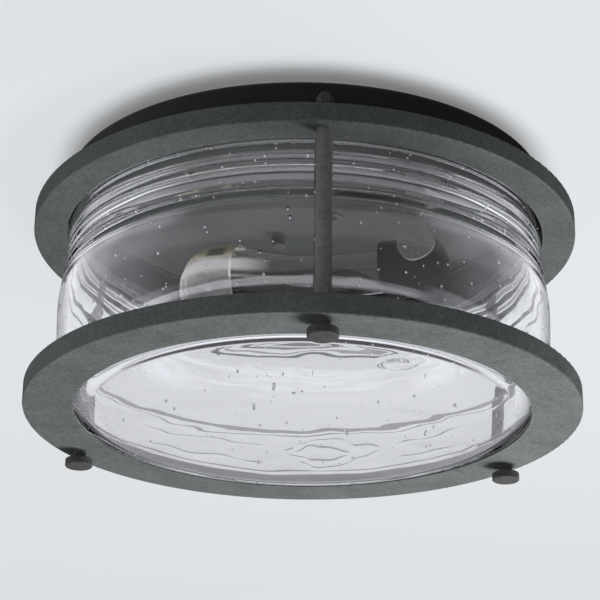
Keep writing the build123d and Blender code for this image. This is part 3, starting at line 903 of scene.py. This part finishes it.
def make_filament():
    """A cage of filament runs on radial hooks."""
    count = 6
    wire_r = 0.35
    hook_thicker = 1.1
    low_r, low_z = 6.0, 64.0
    high_r, high_z = 10.0, 106.0
    twist = 30

    def spot(r, degrees, z):
        """A place on the cage."""
        a = math.radians(degrees)
        return Vector((r * math.cos(a), r * math.sin(a), z))

    low = [spot(low_r, 360 / count * i, low_z) for i in range(count)]
    high = [spot(high_r, 360 / count * i + twist, high_z) for i in range(count)]
    curve = bpy.data.curves.new("filament_cage", "CURVE")
    curve.dimensions = "3D"
    curve.bevel_depth = wire_r * MM
    curve.bevel_resolution = 3

    def run(points, radius=1.0):
        """Adds a wire through points."""
        line = curve.splines.new("POLY")
        line.points.add(len(points) - 1)
        for knot, p in zip(line.points, points):
            knot.co = (*(p * MM), 1.0)
            knot.radius = radius

    run([p for pair in zip(low, high) for p in pair])
    for p in low + high:
        run([Vector((0, 0, p.z)), p], hook_thicker)
    wires = bpy.data.objects.new("filament_cage", curve)
    bpy.context.scene.collection.objects.link(wires)
    lay(wires)
    dress(wires, tungsten, "bulb", "filament", "bulb_filament")


make_jar()
make_seeds()
make_bulb_glass()
make_filament()
lets_light_through(nodes["bulb_stem"])


# Stage: a pale ceiling over the light, seen only from below


# In metres: the ceiling's sides, its gap above the light, and the middle and width of the shade on it
CEILING_LEFT, CEILING_RIGHT = -1.6, 1.6
CEILING_FRONT, CEILING_BACK = -0.9, 1.2
CEILING_GAP = 0.0004
SHADE_AT = (-0.002, -0.021)
SHADE_FROM, SHADE_TO = 0.125, 0.156
CEILING_TONES = [(0.3, (0.068, 0.070, 0.072)), (0.7, (0.074, 0.076, 0.078))]
CEILING_PALE = (0.735, 0.755, 0.775)

# Brightness of the ceiling across its shade: place and level
SHADE = (
    (0.155, 0.27),
    (0.30, 0.34),
    (0.44, 0.475),
    (0.58, 0.69),
    (0.726, 0.86),
    (0.865, 0.975),
    (1.0, 1.0),
)


def make_ceiling():
    """The ceiling, with the soft shade that the light casts on it."""
    z = cad_box[1][2] + CEILING_GAP
    corners = [
        (CEILING_LEFT, CEILING_FRONT, z),
        (CEILING_LEFT, CEILING_BACK, z),
        (CEILING_RIGHT, CEILING_BACK, z),
        (CEILING_RIGHT, CEILING_FRONT, z),
    ]
    mesh = bpy.data.meshes.new("ceiling")
    mesh.from_pydata(corners, [], [(0, 1, 2, 3)])
    obj = bpy.data.objects.new("ceiling", mesh)
    bpy.context.scene.collection.objects.link(obj)
    mat, tree, shader = new_material("ceiling_paint")
    at = object_place(tree)
    tone = ramp(tree, noise_node(tree, at, 3.0, detail=3.0), CEILING_TONES)
    tree.links.new(tone, shader.inputs["Base Color"])
    shader.inputs["Roughness"].default_value = 0.9
    shader.inputs["Specular IOR Level"].default_value = 0.1
    away = spread(tree, from_axis(tree, at, SHADE_AT), SHADE_FROM, SHADE_TO)
    shade = ramp(tree, away, [(place, [k * level for k in CEILING_PALE]) for place, level in SHADE])
    tree.links.new(shade, shader.inputs["Emission Color"])
    shader.inputs["Emission Strength"].default_value = 0.93
    hole = add(tree, "ShaderNodeBsdfTransparent")
    side = add(tree, "ShaderNodeNewGeometry")
    both = add(tree, "ShaderNodeMixShader")
    tree.links.new(side.outputs["Backfacing"], both.inputs["Fac"])
    tree.links.new(shader.outputs["BSDF"], both.inputs[1])
    tree.links.new(hole.outputs["BSDF"], both.inputs[2])
    tree.links.new(both.outputs["Shader"], tree.nodes["Material Output"].inputs["Surface"])
    mesh.materials.append(mat)
    obj.visible_shadow = False
    obj.visible_diffuse = False
    obj.visible_glossy = False


# Pale panels that the glass mirrors: brightness, and where each lies. z is the height of a direction. Seen
# from above, across runs to the right, aside to both sides and depth to the back. Two numbers are where a
# panel starts and is full. Four are where it starts, is full, begins to fade and ends.
PANELS = (
    (0.75, {"z": (0.355, 0.385, 0.60, 0.67), "depth": (0.86, 0.74)}),
    (2.9, {"z": (0.008, 0.024, 0.088, 0.105), "across": (0.88, 0.76), "depth": (0.1, -0.1)}),
    (0.8, {"z": (0.81, 0.82, 0.835, 0.845)}),
    (1.9, {"z": (0.46, 0.56, 0.90, 0.95), "aside": (0.86, 0.97)}),
    (2.4, {"z": (-0.16, -0.10, 0.14, 0.17), "aside": (0.80, 0.92), "depth": (0.80, 0.68)}),
    (1.0, {"z": (0.12, 0.20, 0.47, 0.52), "depth": (-0.45, -0.15, 0.22, 0.42)}),
    (0.5, {"z": (0.10, 0.18, 0.40, 0.46), "across": (-0.70, -0.86), "depth": (0.42, 0.22)}),
    (1.5, {"depth": (0.12, 0.42, 0.72, 0.85), "z": (0.10, 0.25)}),
    (0.2, {"depth": (0.75, 0.9)}),
    (0.22, {"z": (-0.2, -0.35), "depth": (0.75, 0.9)}),
    (1.2, {"z": (-0.46, -0.38, -0.16, -0.10), "depth": (0.38, 0.12)}),
    (0.8, {"z": (-0.25, -0.6)}),
)

# Light that falls on surfaces from below and from the front, and the dim band that shows through the glass
BELOW = (0.21, {"z": (-0.35, -0.75)})
FILL = (0.40, {"depth": (-0.2, -0.8), "z": (-0.6, -0.4, 0.3, 0.5)})
DIM_BAND = (-0.40, {"z": (-0.3, -0.15, 0.08, 0.16)})

# Light from the left and right, how closely it is gathered there, and the least or plain levels
LEFT_LEVEL = 1.1
RIGHT_LEVEL = 0.22
SIDE_FOCUS = 4.0
LEAST_LIT = 0.02
LEAST_MIRRORED = 0.04
THROUGH_GLASS = 0.67
BEHIND_LIGHT = 0.74
ROOM_TINT = (0.97, 0.985, 1.0, 1.0)
GLASS_TINT = (0.935, 0.94, 1.01, 1.0)


def make_world():
    """Soft studio light: from below and from the left, with pale panels for the glass to mirror."""
    world = bpy.data.worlds.new("room")
    bpy.context.scene.world = world
    world.use_nodes = True
    tree = world.node_tree
    background = tree.nodes["Background"]
    x, y, z = split(tree, add(tree, "ShaderNodeTexCoord").outputs["Generated"])
    squared = calc(tree, "SUBTRACT", 1.0, calc(tree, "MULTIPLY", z, z))
    flat = calc(tree, "SQRT", calc(tree, "MAXIMUM", squared, 0.0001))
    across = calc(tree, "DIVIDE", x, flat)
    depth = calc(tree, "DIVIDE", y, flat)
    ways = {"z": z, "across": across, "depth": depth, "aside": calc(tree, "ABSOLUTE", across)}

    def panel(level, limits):
        """A level inside limits and 0 outside them."""
        inside = []
        for way, places in limits.items():
            shape = band if len(places) == 4 else spread
            inside.append(shape(tree, ways[way], *places))
        return chain(tree, "MULTIPLY", *inside, level)

    def side(toward, level):
        """A soft glow from one side."""
        facing = calc(tree, "MAXIMUM", calc(tree, "MULTIPLY", x, toward), 0.0)
        return calc(tree, "MULTIPLY", calc(tree, "POWER", facing, SIDE_FOCUS), level)

    sides = (side(-1.0, LEFT_LEVEL), side(1.0, RIGHT_LEVEL))
    lit = chain(tree, "ADD", LEAST_LIT, panel(*BELOW), *sides, panel(*FILL))
    mirrored = chain(tree, "ADD", LEAST_MIRRORED, *(panel(*row) for row in PANELS))
    through = calc(tree, "ADD", THROUGH_GLASS, panel(*DIM_BAND))

    rays = add(tree, "ShaderNodeLightPath").outputs
    not_mirrored = calc(tree, "LESS_THAN", rays["Glossy Depth"], 0.5)
    once_mirrored = calc(tree, "GREATER_THAN", rays["Glossy Depth"], 0.5)
    clear = calc(tree, "MULTIPLY", rays["Is Transmission Ray"], not_mirrored)
    mirror = calc(tree, "MULTIPLY", rays["Is Singular Ray"], once_mirrored)
    level = mix(tree, mirror, lit, mirrored, kind="FLOAT")
    level = mix(tree, clear, level, through, kind="FLOAT")
    level = mix(tree, rays["Is Camera Ray"], level, BEHIND_LIGHT, kind="FLOAT")
    tint = mix(tree, calc(tree, "MAXIMUM", clear, mirror), ROOM_TINT, GLASS_TINT)
    tree.links.new(tint, background.inputs["Color"])
    tree.links.new(level, background.inputs["Strength"])


def make_key():
    """A broad soft lamp below the light on its right."""
    lamp = bpy.data.lights.new("key", "AREA")
    lamp.shape = "SQUARE"
    lamp.size = 0.5
    lamp.energy = 12.8
    obj = bpy.data.objects.new("key", lamp)
    place = Vector((0.55, 0.15, -0.85))
    aim = Vector((0.0, 0.0, -0.1)) - place
    obj.matrix_world = Matrix.Translation(place) @ aim.to_track_quat("-Z", "Y").to_matrix().to_4x4()
    obj.visible_camera = False
    obj.visible_glossy = False
    obj.visible_transmission = False
    bpy.context.scene.collection.objects.link(obj)


def make_camera():
    """The photograph's view: below the light, looking up at it."""
    eye = Vector((0.0, -1.0978, -0.5293))
    ahead = Vector((-0.00195, 0.92229, 0.38649)).normalized()
    roll = 0.0134
    sensor = 36.0
    focal_px = 1958.9
    picture_px = 600
    level_right = ahead.cross(UP).normalized()
    level_up = level_right.cross(ahead)
    right = level_right * math.cos(roll) + level_up * math.sin(roll)
    up = level_up * math.cos(roll) - level_right * math.sin(roll)
    camera = bpy.data.cameras.new("camera")
    camera.sensor_width = sensor
    camera.lens = focal_px / picture_px * sensor
    obj = bpy.data.objects.new("camera", camera)
    turn = Matrix((right, up, -ahead)).transposed().to_4x4()
    obj.matrix_world = Matrix.Translation(eye) @ turn
    bpy.context.scene.collection.objects.link(obj)
    bpy.context.scene.camera = obj


make_ceiling()
make_world()
make_key()
make_camera()
bpy.context.scene.view_settings.view_transform = "Standard"
